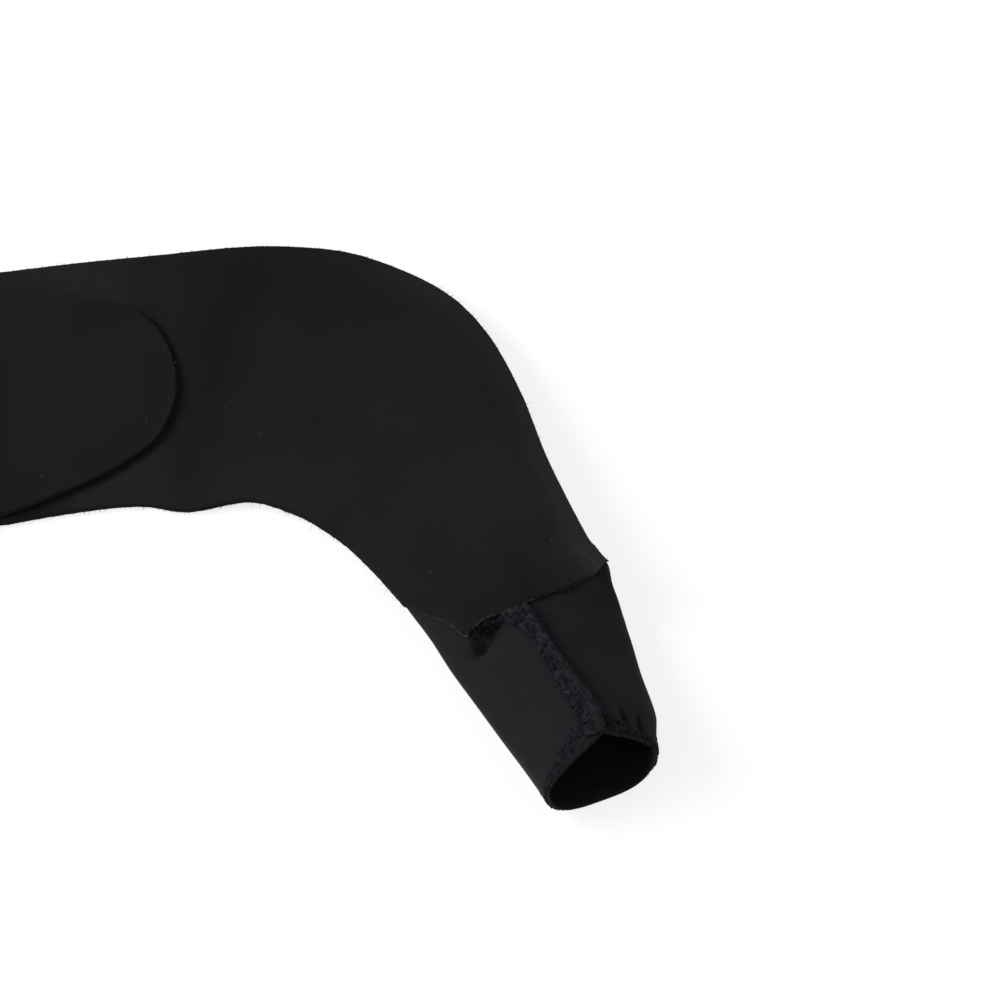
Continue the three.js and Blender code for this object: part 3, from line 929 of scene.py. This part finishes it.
def studio_paper():
    """Matte white paper sweep, with a barely uneven tone."""
    material, tree = new_material("studio_paper")
    place = add(tree, "ShaderNodeTexCoord").outputs["Object"]
    cloud = add(tree, "ShaderNodeTexNoise", {"Vector": place, "Scale": per_mm(120), "Detail": 2})
    colour = add(tree, "ShaderNodeMix", {
        0: cloud.outputs["Fac"], 6: linear("#888888"), 7: linear("#8c8c8c")}, data_type="RGBA")
    shader = add(tree, "ShaderNodeBsdfPrincipled", {
        "Base Color": colour.outputs[2], "Roughness": 0.9, "Specular IOR Level": 0.1, "IOR": 1.5,
        "Emission Color": linear("#ffffff"), "Emission Strength": 0.8})
    add(tree, "ShaderNodeOutputMaterial", {"Surface": shader.outputs["BSDF"]})
    return material


def painted_patches(grid, patches):
    """Sum of the listed patches of painted light and shade: each its amount times a bell along x and a bell
    along y.
    """
    x, y = grid[..., 0], grid[..., 1]
    return sum(amount * bell(x, px, sx) * bell(y, py, sy) for px, py, sx, sy, amount in patches)


def crease_distance(grid):
    """Distance in plan from the soft crease, towards the strap as positive."""
    line = CREASE_BACK - CREASE_FRONT
    apart = grid[..., :2] - CREASE_FRONT
    return (apart[..., 1] * line[0] - apart[..., 0] * line[1]) / np.hypot(*line)


def crease_hump(left):
    """Low swell on the strap's side of the crease: an S-curve up and a slightly longer one down."""
    return smooth_step(left, *HUMP_RISE) * (1 - smooth_step(left, *HUMP_FALL))


def lightness_with_painted_light(grid, left, along, across, body):
    """Lightness of the wrap's colour: its flat value and the soft patches of painted light and shade, a
    little more on the strap, and on the body painted light beside the strap's end, painted shade on the
    strap's side of the crease, and painted highlights along the back rim and at the back corner."""
    x = grid[..., 0]
    width = across[:, -1:]
    strip = 1 - smooth_step(x + STRIP_SLANT * grid[..., 1], *STRIP_END)
    wedge = smooth_step(x, *WEDGE_START) * smooth_step(left, *WEDGE_CROSS)
    back = lerp(smooth_step(x, *RIM_START), smooth_step(x, *RIM_RISE), RIM_SHARE)
    rim = smooth_step(across - width, -RIM_WIDTH, 0) * back
    corner = bell(along, 0, CORNER_LIGHT_SPREADS[0]) * bell(across, width, CORNER_LIGHT_SPREADS[1])
    painted = STRIP_PAINTED_LIGHT * strip + WEDGE_PAINTED_SHADE * wedge + RIM_PAINTED_HIGHLIGHT * rim + CORNER_PAINTED_LIGHT * corner
    on_body = painted + painted_patches(grid, BODY_PAINTED_LIGHT_AND_SHADE)
    return FLAT_NAP + np.where(body, on_body, STRAP_TONE + painted_patches(grid, TAB_PAINTED_SHADE))


def edge_distance(along, across):
    """Distance from the nearest cut edge, on the flat lengths."""
    aside = np.minimum(across, across[:, -1:] - across)
    return np.minimum(aside, np.minimum(along, along[-1:] - along))


def wobble_edges(grid, along, across):
    """Grid moved across itself by a small ripple at its long cut edges, which fades away from them. The
    two edges take theirs from lines of the ripple that are far apart."""
    width = across[:, -1:]
    side = np.sign(across - width / 2)
    aside = np.minimum(across, width - across)
    outwards = unit(np.gradient(grid, axis=1)) * side[..., None]
    fade = np.exp(-aside / EDGE_WOBBLE_DEPTH)
    wobble = EDGE_WOBBLE * ripple(along, side * EDGE_WOBBLE_APART, EDGE_WOBBLE_LENGTH, 3) * fade
    return grid + outwards * wobble[..., None]


def above_ground(skins):
    """Skins with whatever is under the ground raised to it."""
    for skin in skins:
        skin[..., 2] = np.maximum(skin[..., 2], 0)
    return skins


def panel_skins():
    """Wrap: the body, strap and strap end as one strip of cloth. Its middle surface is moved along its
    normal by a soft ripple and by a swell beside the crease, and each skin lies half a thickness off
    it."""
    grid = np.concatenate([body_rows(), strap_rows(), tab_rows()])
    pattern = pattern_place(grid)
    along, across = flat_lengths(grid)
    distance = edge_distance(along, across)
    grid = wobble_edges(grid, along, across)
    normal = grid_normals(grid)
    body = np.arange(len(grid))[:, None] < BODY_ROWS
    left = crease_distance(grid)
    hump = np.where(body, HUMP * crease_hump(left) * smooth_step(grid[..., 1], *HUMP_GROWTH), 0)
    free = lerp(FLAT_RIPPLE, FREE_RIPPLE, smooth_step(grid[..., 0], *FREE_FROM))
    grid = grid + normal * (free * ripple(along, across, RIPPLE_LENGTH, 5) + hump)[..., None]
    wall = lerp(END_WALL, PANEL_WALL, smooth_step(along, 0, SEWN_LENGTH))
    reach = normal * (wall / 2 * edge_fullness(distance))[..., None]
    # Share of the darker cut-edge colour, part of it painted shade, over the edge walls and 0.6 mm in
    cut = np.clip(1 - distance / EDGE_STEPS[3], 0, 1)
    # Lightness of the wrap's colour, with its painted light and shade
    painted_light = lightness_with_painted_light(grid, left, along, across, body)
    tones = {"cut": np.stack([cut, cut]), "painted_light": np.stack([painted_light, painted_light])}
    return above_ground([grid + reach, grid - reach]), pattern, tones


def sleeve_band(start, end, rows):
    """Runs and angles of a band round the sleeve, between two runs that may change round it."""
    degrees = np.arange(SLEEVE_ROUND) * 360 / SLEEVE_ROUND
    run = lerp(start(degrees), end(degrees), np.linspace(0, 1, rows)[:, None])
    return run, np.broadcast_to(degrees, run.shape)


def band_uv(run, degrees):
    """Flat cloth lengths of a band: the angle times the sleeve's mean arc, and the run, with the first
    column repeated at a full turn."""
    run = np.concatenate([run, run[:, :1]], 1)
    degrees = np.concatenate([degrees, np.full((len(degrees), 1), 360.0)], 1)
    return np.stack([degrees * MEAN_ARC, run], -1)


def tube_skins(run, degrees, reach):
    """Two skins at a reach to each side of the sleeve's dented middle surface, their flat lengths, and
    the share of painted shade, which is 0 on the outer skin and 1 on the inner."""
    dents = knit_dents(run, degrees)
    skins = above_ground([sleeve_offset(run, degrees, dents + side * reach) for side in (1, -1)])
    return skins, band_uv(run, degrees), {"inside": np.stack([0 * run, 0 * run + 1])}


def sleeve_skins():
    """Sleeve: the tapered tube from its base to its cut end, with a skin half a wall to each side."""
    run, degrees = sleeve_band(lambda d: BASE_RUN + 0 * d, mouth_run, SLEEVE_ALONG)
    return tube_skins(run, degrees, SLEEVE_WALL / 2)


def hem_skins():
    """Hem: a band of thicker wall at the mouth, lumpy under its stitches and rounded at its rim as part
    of an ellipse."""
    run, degrees = sleeve_band(lambda d: mouth_run(d) + HEM_GAP, hem_end, HEM_ALONG)
    share = np.linspace(0, 1, HEM_ALONG)[:, None]
    lumps = HEM_LUMPS * ripple(run, degrees * MEAN_ARC, 2.2, 17) * smooth_step(share, 0, 0.3)
    full = np.sqrt(1 - np.clip((share - 0.7) / 0.32, 0, 1) ** 2)
    wall = lerp(SLEEVE_WALL, HEM_WALL, smooth_step(share, 0, 0.4))
    return tube_skins(run, degrees, (wall / 2 + lumps) * full)


def stitch_length(degrees):
    """How far the hem's stitches reach up from its rim: a bell beside the seam, where they meet the
    seam's own, and little at the mouth's far side."""
    return STITCH_SHORT + STITCH_EXTRA * bell(degrees, STITCH_ANGLE, STITCH_SPREAD)


def zigzag(turns):
    """Triangle wave, one wave a turn, with its corners rounded off a little inside -1 and 1."""
    return np.arcsin(0.97 * np.sin(2 * np.pi * turns)) / (np.pi / 2)


def hem_threads():
    """Overlock stitches round the mouth: two looper threads in uneven zigzags from the rim inwards,
    longest beside the seam, and a thread that coils round the rim and sinks into it at the mouth's
    underside."""
    turns = np.arange(HEM_STITCHES * STITCH_POINTS) / STITCH_POINTS
    degrees = turns * 360 / HEM_STITCHES
    end = hem_end(degrees)
    length = stitch_length(degrees)
    jitter = ripple(degrees * MEAN_ARC, 0, 2.5, 21)
    drift = ripple(degrees * MEAN_ARC, 0, 4, 23)
    top = smooth_step(np.sin(np.radians(degrees)), -0.1, 0.4)
    runs = [
        end - 0.3 - length * (0.5 + (0.46 + 0.1 * jitter) * zigzag(turns + 0.25 * drift)),
        end - 0.2 - length * (0.45 - (0.42 + 0.1 * drift) * zigzag(turns + 0.2 + 0.25 * jitter)),
        end - 0.05 - 0.6 * (1 - top) + 0.2 * top * np.cos(2 * np.pi * turns + drift),
    ]
    outs = [
        HEM_WALL / 2 + 0.06 + 0.08 * jitter,
        HEM_WALL / 2 + 0.1 + 0.1 * drift,
        0.4 * top * np.sin(2 * np.pi * turns + jitter),
    ]
    groups = []
    for run, out in zip(runs, outs):
        path = sleeve_offset(run, degrees, knit_dents(run, degrees) + out)
        path[..., 2] = np.maximum(path[..., 2], LOWEST_THREAD)
        over = sleeve_normal(run, degrees)[None]
        groups.append(thread_rings(path[None], over, HEM_THREAD, THREAD_SIDES, True))
    return groups


def seam_degrees(run, share):
    """Angle at a share of the way from the seam's free edge to its ridge, both on straight lines
    between the listed runs."""
    return lerp(np.interp(run, SEAM_PATH[:, 0], SEAM_PATH[:, 1]), seam_ridge(run), share)


def seam_place(run, share, above):
    """Point on the raised seam: it stands on the sleeve, low at the free edge and high at the ridge,
    and sinks by an S-curve towards each of its ends."""
    first, last = SEAM_PATH[0, 0], SEAM_PATH[-1, 0]
    rise = lerp(SEAM_LOW, SEAM_HIGH, smooth_step(share, 0.1, 0.9))
    at_mouth = SEAM_MOUTH_SINK * smooth_step(run, last - SEAM_MOUTH_TAPER, last)
    at_body = SEAM_BODY_SINK * (1 - smooth_step(run, first, first + SEAM_BODY_TAPER))
    height = SLEEVE_WALL / 2 + SEAM_FOOT + rise * (1 - at_mouth - at_body) + above
    return sleeve_offset(run, seam_degrees(run, share), height)


def seam_fold(run):
    """How far the stitches draw back from the seam's fold: not in its upper half and fully in its
    lower."""
    return smooth_step(run, *SEAM_FOLD)


def seam_skins():
    """Seam allowance: a strip along the sleeve whose upper skin rises from its free edge to its ridge,
    with a wavy free edge and lumps at the stitch spacing."""
    run = np.linspace(SEAM_PATH[0, 0], SEAM_PATH[-1, 0], SEAM_ALONG)[:, None]
    share = np.linspace(0, 1, SEAM_ACROSS)[None]
    wave = 0.06 * np.sin(run * 2 * np.pi / SEAM_PITCH) + 0.09 * ripple(run, 0, 3, 31)
    spread = share + wave * (1 - share) ** 2
    lumps = 0.25 * ripple(run, share * SEAM_WIDTH, 2, 33) * (1 - share)
    edge = np.clip(np.minimum(share, 1 - share) / 0.12, 0, 1)
    round_off = 0.4 * (1 - np.sqrt(edge * (2 - edge)))
    upper = seam_place(run, spread, lumps * np.sqrt(edge) - round_off)
    foot = lerp(SEAM_FOOT_LOW, SEAM_FOOT, smooth_step(run, MOUTH_RUN - 1.5, MOUTH_RUN))
    lower = sleeve_offset(run, seam_degrees(run, spread), SLEEVE_WALL / 2 + foot)
    uv = np.stack(np.broadcast_arrays(run, share * SEAM_WIDTH), -1)
    plain = 0.6 * smooth_step(share, 0.4, 0.65) * seam_fold(run)
    return [upper, lower], uv, {"plain": np.stack([plain, plain])}


def gather_stitches(phase, seed):
    """Path of a looper thread in the gather beside the seam: an uneven zigzag along the body's edge, on
    the knit."""
    v = np.linspace(*GATHER_SHARES, GATHER_POINTS)
    turns = np.linspace(0, GATHER_STITCHES, GATHER_POINTS) + phase
    jitter = ripple(turns, 0, 2.5, seed)
    run = lap_run(v) + 0.9 + (0.9 + 0.3 * jitter) * zigzag(turns + 0.3 * jitter)
    degrees = lap_degrees(v)
    out = SLEEVE_WALL / 2 + 0.15 + 0.1 * jitter + knit_dents(run, degrees)
    return sleeve_offset(run, degrees, out)


def seam_threads():
    """Overlock stitches along the raised seam: two looper zigzags over it, which draw back from its
    lower fold, a coil along its free edge, the taut needle thread along its ridge, and the two loopers'
    ends in the gather."""
    run = np.linspace(SEAM_PATH[0, 0] + 0.4, SEAM_PATH[-1, 0] - 0.2, SEAM_POINTS)
    turns = run / SEAM_PITCH
    jitter = ripple(run, 0, 2.5, 41)
    drift = ripple(run, 0, 4, 43)
    cover = 1 - 0.2 * seam_fold(run)
    shares = [
        cover * (0.46 + (0.36 + 0.12 * jitter) * zigzag(turns + 0.3 * drift)),
        cover * (0.44 - (0.38 + 0.12 * drift) * zigzag(turns + 0.2 + 0.3 * jitter)),
        0.03 + (0.07 + 0.05 * drift) * np.cos(2 * np.pi * turns + jitter),
        0.96 + 0.02 * jitter,
    ]
    aboves = [
        -0.02 + 0.2 * jitter,
        0.04 + 0.2 * drift,
        -0.25 + 0.25 * np.sin(2 * np.pi * turns + drift),
        -0.12 + 0.05 * drift,
    ]
    paths = [seam_place(run, share, above) for share, above in zip(shares, aboves)]
    paths += [gather_stitches(0.0, 61), gather_stitches(0.55, 63)]
    return [thread_rings(path[None], THREAD_UP, SEAM_THREAD, THREAD_SIDES, False) for path in paths]


def joint_line():
    """Slack thread along the body's edge: loosest at the dip, proud of the edge from there to the seam,
    and sunk into the cloth behind it."""
    v = np.linspace(*JOINT_SHARES, JOINT_POINTS)
    place = v * JOINT_LENGTH
    loose = bell(v, TUCK_SHARE, 0.09)
    proud = bell(v, 0.25, 0.09)
    wander = 0.18 * ripple(place, 0, 5, 51) + 0.4 * loose * ripple(place, 0, 2.2, 55)
    run = lap_run(v) + 0.2 - 0.45 * proud + wander
    slack = 0.42 * proud + 0.12 * ripple(place, 0, 4, 53)
    degrees = lap_degrees(v)
    out = SLEEVE_WALL / 2 + END_WALL + tuck_lift(v) + slack + sleeve_dents(run, degrees)
    path = sleeve_offset(run, degrees, out)
    radius = lerp(JOINT_THREAD, JOINT_THREAD_SUNK, smooth_step(v, 0.45, 0.6))
    return thread_rings(path[None], THREAD_UP, radius[None], THREAD_SIDES, False)


def joint_loops():
    """Short loops across the body's edge: each leans by part of a sine wave and drops from the body to
    the knit by an S-curve."""
    loops = (JOINT_LOOPS, 1)
    v = random.uniform(*LOOP_SHARES, loops)
    reach = random.uniform(0.3, 1.3, loops)
    lean = random.normal(0, 3, loops)
    top = END_WALL * random.uniform(0.9, 1.3, loops) + tuck_lift(v)
    t = np.linspace(0, 1, STITCH_POINTS)[None]
    run = lap_run(v) + lerp(-0.15, 0.2 + reach, t)
    degrees = lap_degrees(v) + lean * np.sin(0.8 * np.pi * t)
    out = SLEEVE_WALL / 2 + lerp(top, 0.05, smooth_step(t, 0.1, 0.9)) + knit_dents(run, degrees)
    return thread_rings(sleeve_offset(run, degrees, out), LOOP_UP, LOOP_THREAD, THREAD_SIDES, False)


def joint_threads():
    """Stitching that holds the body's end to the sleeve."""
    return [joint_line(), joint_loops()]


def hook_skins():
    """Hook patch: a thin plate under the strap end, inset from its cut edges and rounded along its
    border."""
    edges = through(TAB, np.linspace(*HOOK_ROWS, HOOK_ALONG))
    v = across_shares(np.abs(edges[:, 3] - edges[:, 1]) - 2 * HOOK_INSET)
    x = lerp(edges[:, :1], edges[:, 2:3], v) - HOOK_INSET / 2
    y = lerp(edges[:, 1:2] + HOOK_INSET, edges[:, 3:] - HOOK_INSET, v)
    middle = np.full_like(x, PANEL_WALL + GAP + HOOK_WALL / 2)
    grid = np.stack([x, y, middle], -1)
    along, across = flat_lengths(grid)
    reach = np.zeros_like(grid)
    reach[..., 2] = HOOK_WALL / 2 * edge_fullness(edge_distance(along, across))
    return [grid - reach, grid + reach], np.stack([along, across], -1), {}


def edge_fuzz(skins):
    """Loose fibres along the wrap's cut edges: each starts on the edge's wall and bends as a parabola
    away from it, thinning to its tip."""
    outer, inner = skins
    rows, columns = outer.shape[:2]
    i = np.concatenate([np.arange(rows), np.arange(rows), np.zeros(columns, int)])
    j = np.concatenate([np.zeros(rows, int), np.full(rows, columns - 1), np.arange(columns)])
    steps = [np.gradient(edge, axis=0) for edge in (outer[:, 0], outer[:, -1], outer[0])]
    share = np.linalg.norm(np.concatenate(steps), axis=-1)
    pick = random.choice(len(i), FUZZ_FIBRES, p=share / share.sum())
    i, j = i[pick], j[pick]
    back_i = np.where(pick < 2 * rows, i, FUZZ_BACK)
    back_j = np.where(pick < rows, FUZZ_BACK, np.where(pick < 2 * rows, columns - 1 - FUZZ_BACK, j))
    depth = random.random((FUZZ_FIBRES, 1))
    root = lerp(outer[i, j], inner[i, j], depth)
    away = unit(root - lerp(outer[back_i, back_j], inner[back_i, back_j], depth))
    drift = random.normal(0, 0.55, (FUZZ_FIBRES, 3))
    length = random.gamma(2.2, 0.2, (FUZZ_FIBRES, 1))[:, None]
    t = np.linspace(0, 1, FUZZ_POINTS)[None, :, None]
    path = root[:, None] + length * (unit(away + 0.6 * drift)[:, None] * t + 0.5 * drift[:, None] * t**2)
    path[..., 2] = np.maximum(path[..., 2], LOWEST_FUZZ)
    over = unit(random.normal(0, 1, (FUZZ_FIBRES, 3)))[:, None]
    return [thread_rings(path, over, FUZZ_RADIUS * (1 - 0.75 * t[..., 0]), FIBRE_SIDES, False)]


def lint(skins):
    """Specks of lint on the upper faces: a few fibres each, which lie on the nap as arcs in plan, on
    the uppermost cloth near each listed place."""
    outer, inner = skins
    faces = np.concatenate([outer[:BODY_ROWS].reshape(-1, 3), inner[-TAB_ROWS:].reshape(-1, 3)])
    apart = np.linalg.norm(LINT_PLACES[:, None] - faces[:, :2], axis=-1)
    root = np.repeat(faces[np.argmin(apart - 0.5 * faces[:, 2], 1)], LINT_FIBRES, 0)
    total = len(root)
    root[:, :2] += random.normal(0, 0.22, (total, 2))
    size = random.uniform(0.25, 0.8, (total, 1))
    turn = random.uniform(0, 2 * np.pi, (total, 1))
    curl = random.normal(0, 2.4, (total, 1))
    t = np.linspace(0, 1, LINT_POINTS)[None]
    step = size / (LINT_POINTS - 1) * np.stack([np.cos(turn + curl * t), np.sin(turn + curl * t)])
    x, y = root[:, :2].T[..., None] + np.cumsum(step, -1)
    z = root[:, 2:] + 0.08 + 0.1 * np.sin(np.pi * t)
    return [thread_rings(np.stack([x, y, z], -1), LINT_UP, LINT_RADIUS, FIBRE_SIDES, False)]


def softbox(name, place, aim, size, power):
    """Square area light at a place, turned to face its aim."""
    light = bpy.data.lights.new(name, "AREA")
    light.shape = "SQUARE"
    light.size = size
    light.energy = power
    lamp = bpy.data.objects.new(name, light)
    lamp.location = place
    lamp.rotation_euler = (Vector(aim) - Vector(place)).to_track_quat("-Z", "Y").to_euler()
    bpy.context.scene.collection.objects.link(lamp)


# Materials
wrap_cloth = brushed_loop_fabric()
knit = stretch_knit()
thread = spun_thread("overlock_thread", "#0f0f11", "#2a2831")
joint_thread = spun_thread("sewing_thread", "#1d1c21", "#434249")
hook = hook_tape()
fibre = cut_fibre()
lint_fibre = cotton_lint()

# Pieces
panel_walls, panel_uv, panel_tones = panel_skins()
wrap = cloth_piece("wrap_cloth", panel_walls, panel_uv, panel_tones, False, wrap_cloth)
sleeve = cloth_piece("sleeve_cloth", *sleeve_skins(), True, knit)
hem = cloth_piece("hem_band", *hem_skins(), True, knit)
seam = cloth_piece("seam_allowance", *seam_skins(), False, thread)
hooks = cloth_piece("hook_tape_patch", *hook_skins(), False, hook)
hem_stitching = thread_piece("hem_stitches", hem_threads(), thread)
seam_stitching = thread_piece("seam_stitches", seam_threads(), thread)
joint_stitching = thread_piece("joint_stitches", joint_threads(), joint_thread)
fuzz = thread_piece("edge_fibres", edge_fuzz(panel_walls), fibre)
specks = thread_piece("lint_specks", lint(panel_walls), lint_fibre)

for piece, node in ((wrap, "wrap_panel"), (sleeve, "thumb_sleeve"), (hem, "mouth_hem"),
                    (seam, "sleeve_seam"), (hooks, "hook_patch")):
    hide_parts(node)
for piece, slot in ((wrap, "wrap_fabric"), (fuzz, "wrap_fabric"), (specks, "wrap_fabric"),
                    (sleeve, "sleeve_knit"), (hem, "overlock_thread"), (seam, "overlock_thread"),
                    (hem_stitching, "overlock_thread"), (seam_stitching, "overlock_thread"),
                    (joint_stitching, "overlock_thread"), (hooks, "hook_tape")):
    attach(piece, "root")

# Floor, light and camera
floor_mesh = bpy.data.meshes.new("floor")
floor_signs = ((-1, -1), (1, -1), (1, 1), (-1, 1))
floor_corners = [(FLOOR_HALF * x, FLOOR_HALF * y, -FLOOR_DROP) for x, y in floor_signs]
floor_mesh.from_pydata(floor_corners, [], [(0, 1, 2, 3)])
floor_mesh.materials.append(studio_paper())
floor = bpy.data.objects.new("floor", floor_mesh)
bpy.context.scene.collection.objects.link(floor)

world = bpy.data.worlds.new("studio")
world.use_nodes = True
background = world.node_tree.nodes["Background"]
background.inputs["Color"].default_value = linear("#ffffff")
background.inputs["Strength"].default_value = WORLD_STRENGTH
bpy.context.scene.world = world
softbox("key_softbox", KEY_PLACE, KEY_AIM, KEY_SIZE, KEY_POWER)
bpy.context.scene.view_settings.view_transform = "Standard"

camera_data = bpy.data.cameras.new("photo_camera")
camera_data.lens = CAMERA_LENS_MM
camera_data.sensor_width = CAMERA_SENSOR_MM
camera = bpy.data.objects.new("photo_camera", camera_data)
camera.location = CAMERA_PLACE
aim = Vector(CAMERA_AIM) - camera.location
camera.rotation_euler = aim.to_track_quat("-Z", "Y").to_euler()
bpy.context.scene.collection.objects.link(camera)
bpy.context.scene.camera = camera
